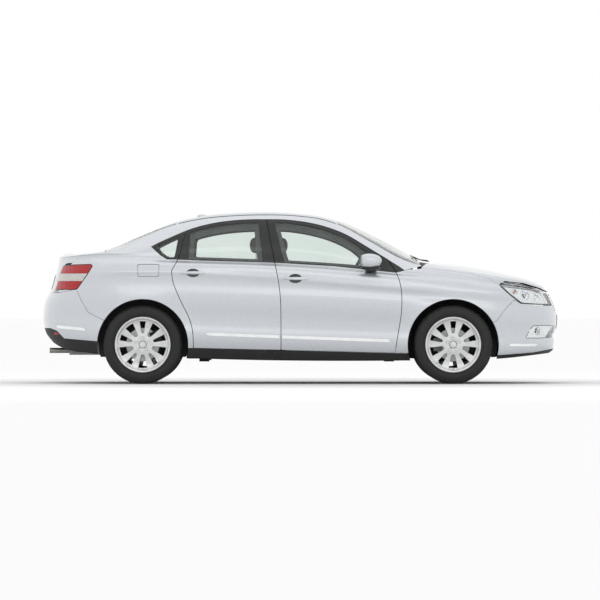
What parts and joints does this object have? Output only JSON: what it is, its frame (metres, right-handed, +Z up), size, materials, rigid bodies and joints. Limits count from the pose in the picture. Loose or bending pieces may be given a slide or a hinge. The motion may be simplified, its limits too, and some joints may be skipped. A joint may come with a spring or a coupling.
{
  "type": "four-door saloon car",
  "caption": "Mid-size four-door saloon car with hinged doors, bonnet, boot lid and fuel flap, steered front wheels, and a hollow cabin and boot.",
  "frame": {"origin": "on the ground, under the middle of the bounding box", "axes": "+X forward, +Y to the car's left, +Z up"},
  "size_m": [4.66, 2.0548, 1.5513],
  "materials": {
    "body_paint": "silver-white metallic clear-coated paint",
    "chassis": "black chassis paint",
    "black_trim": "grained black plastic",
    "clear_lamp": "clear moulded lamp cover",
    "red_lamp": "red and clear moulded lamp cover",
    "glass": "green-tinted safety glass",
    "dash_plastic": "grained dark dashboard skin",
    "seat_cloth": "woven seat cloth",
    "engine_metal": "cast engine block and gearbox",
    "exhaust_steel": "stainless steel",
    "tank_plastic": "black moulded polyethylene",
    "mirror_cap": "painted cap on a black base",
    "handle": "painted grip",
    "cast_metal": "cast knuckle and caliper",
    "tyre": "black tyre rubber",
    "alloy": "silver-lacquered cast alloy",
    "disc_steel": "turned iron brake disc"
  },
  "bodies": {
    "body": {"body_side_left": "body_paint", "body_side_right": "body_paint", "roof": "body_paint", "floor_pan": "chassis", "front_wings": "body_paint", "front_bumper": "body_paint", "rear_bumper": "body_paint", "grille": "black_trim", "front_lamps": "clear_lamp", "tail_lamps": "red_lamp", "fixed_windows": "glass", "sill_covers": "black_trim", "arch_liners": "black_trim", "cowl_panel": "black_trim", "dashboard": "dash_plastic", "front_seats": "seat_cloth", "rear_seat": "seat_cloth", "engine": "engine_metal", "front_subframe": "chassis", "rear_axle": "chassis", "exhaust": "exhaust_steel", "fuel_tank": "tank_plastic"},
    "bonnet": {"bonnet": "body_paint"},
    "boot_lid": {"boot_lid": "body_paint"},
    "fuel_flap": {"fuel_flap": "body_paint"},
    "front_door_left": {"front_door_left": "body_paint", "front_glass_left": "glass", "mirror_left": "mirror_cap", "front_handle_left": "handle"},
    "front_door_right": {"front_door_right": "body_paint", "front_glass_right": "glass", "mirror_right": "mirror_cap", "front_handle_right": "handle"},
    "rear_door_left": {"rear_door_left": "body_paint", "rear_glass_left": "glass", "rear_handle_left": "handle"},
    "rear_door_right": {"rear_door_right": "body_paint", "rear_glass_right": "glass", "rear_handle_right": "handle"},
    "steering_wheel": {"steering_wheel": "dash_plastic"},
    "knuckle_left": {"knuckle_left": "cast_metal"},
    "knuckle_right": {"knuckle_right": "cast_metal"},
    "front_left_wheel": {"front_left_tyre": "tyre", "front_left_rim": "alloy", "front_left_disc": "disc_steel"},
    "front_right_wheel": {"front_right_tyre": "tyre", "front_right_rim": "alloy", "front_right_disc": "disc_steel"},
    "rear_left_wheel": {"rear_left_tyre": "tyre", "rear_left_rim": "alloy", "rear_left_disc": "disc_steel"},
    "rear_right_wheel": {"rear_right_tyre": "tyre", "rear_right_rim": "alloy", "rear_right_disc": "disc_steel"}
  },
  "joints": [
    {"name": "front_door_left_hinge", "type": "hinge", "parent": "body", "child": "front_door_left", "pos_m": [0.845, 0.915, 0.7], "axis": [0, 0, -1], "range_deg": [0, 65]},
    {"name": "front_door_right_hinge", "type": "hinge", "parent": "body", "child": "front_door_right", "pos_m": [0.845, -0.915, 0.7], "axis": [0, 0, 1], "range_deg": [0, 65]},
    {"name": "rear_door_left_hinge", "type": "hinge", "parent": "body", "child": "rear_door_left", "pos_m": [-0.23, 0.915, 0.7], "axis": [0, 0, -1], "range_deg": [0, 65]},
    {"name": "rear_door_right_hinge", "type": "hinge", "parent": "body", "child": "rear_door_right", "pos_m": [-0.23, -0.915, 0.7], "axis": [0, 0, 1], "range_deg": [0, 65]},
    {"name": "bonnet_hinge", "type": "hinge", "parent": "body", "child": "bonnet", "pos_m": [1.1, 0, 1.048], "axis": [0, -1, 0], "range_deg": [0, 55]},
    {"name": "boot_lid_hinge", "type": "hinge", "parent": "body", "child": "boot_lid", "pos_m": [-1.746, 0, 1.214], "axis": [0, 1, 0], "range_deg": [0, 80]},
    {"name": "fuel_flap_hinge", "type": "hinge", "parent": "body", "child": "fuel_flap", "pos_m": [-1.28, -0.914, 1.006], "axis": [0, 0, 1], "range_deg": [0, 85]},
    {"name": "steer_left", "type": "hinge", "parent": "body", "child": "knuckle_left", "pos_m": [1.374, 0.762, 0.3525], "axis": [0, 0, 1], "range_deg": [-36, 36]},
    {"name": "steer_right", "type": "hinge", "parent": "body", "child": "knuckle_right", "pos_m": [1.374, -0.762, 0.3525], "axis": [0, 0, 1], "range_deg": [-36, 36]},
    {"name": "steering_wheel_turn", "type": "hinge", "parent": "body", "child": "steering_wheel", "pos_m": [0.49, 0.365, 1], "axis": [-0.9063, 0, 0.4226], "range_deg": [-540, 540]},
    {"name": "front_left_wheel_spin", "type": "hinge", "parent": "knuckle_left", "child": "front_left_wheel", "pos_m": [1.374, 0.787, 0.3525], "axis": [0, 1, 0], "continuous": true},
    {"name": "front_right_wheel_spin", "type": "hinge", "parent": "knuckle_right", "child": "front_right_wheel", "pos_m": [1.374, -0.787, 0.3525], "axis": [0, 1, 0], "continuous": true},
    {"name": "rear_left_wheel_spin", "type": "hinge", "parent": "body", "child": "rear_left_wheel", "pos_m": [-1.411, 0.787, 0.3525], "axis": [0, 1, 0], "continuous": true},
    {"name": "rear_right_wheel_spin", "type": "hinge", "parent": "body", "child": "rear_right_wheel", "pos_m": [-1.411, -0.787, 0.3525], "axis": [0, 1, 0], "continuous": true}
  ],
  "couplings": [
    {"joint": "steer_right", "follows": "steer_left", "ratio": 1},
    {"joint": "steering_wheel_turn", "follows": "steer_left", "ratio": 15}
  ]
}
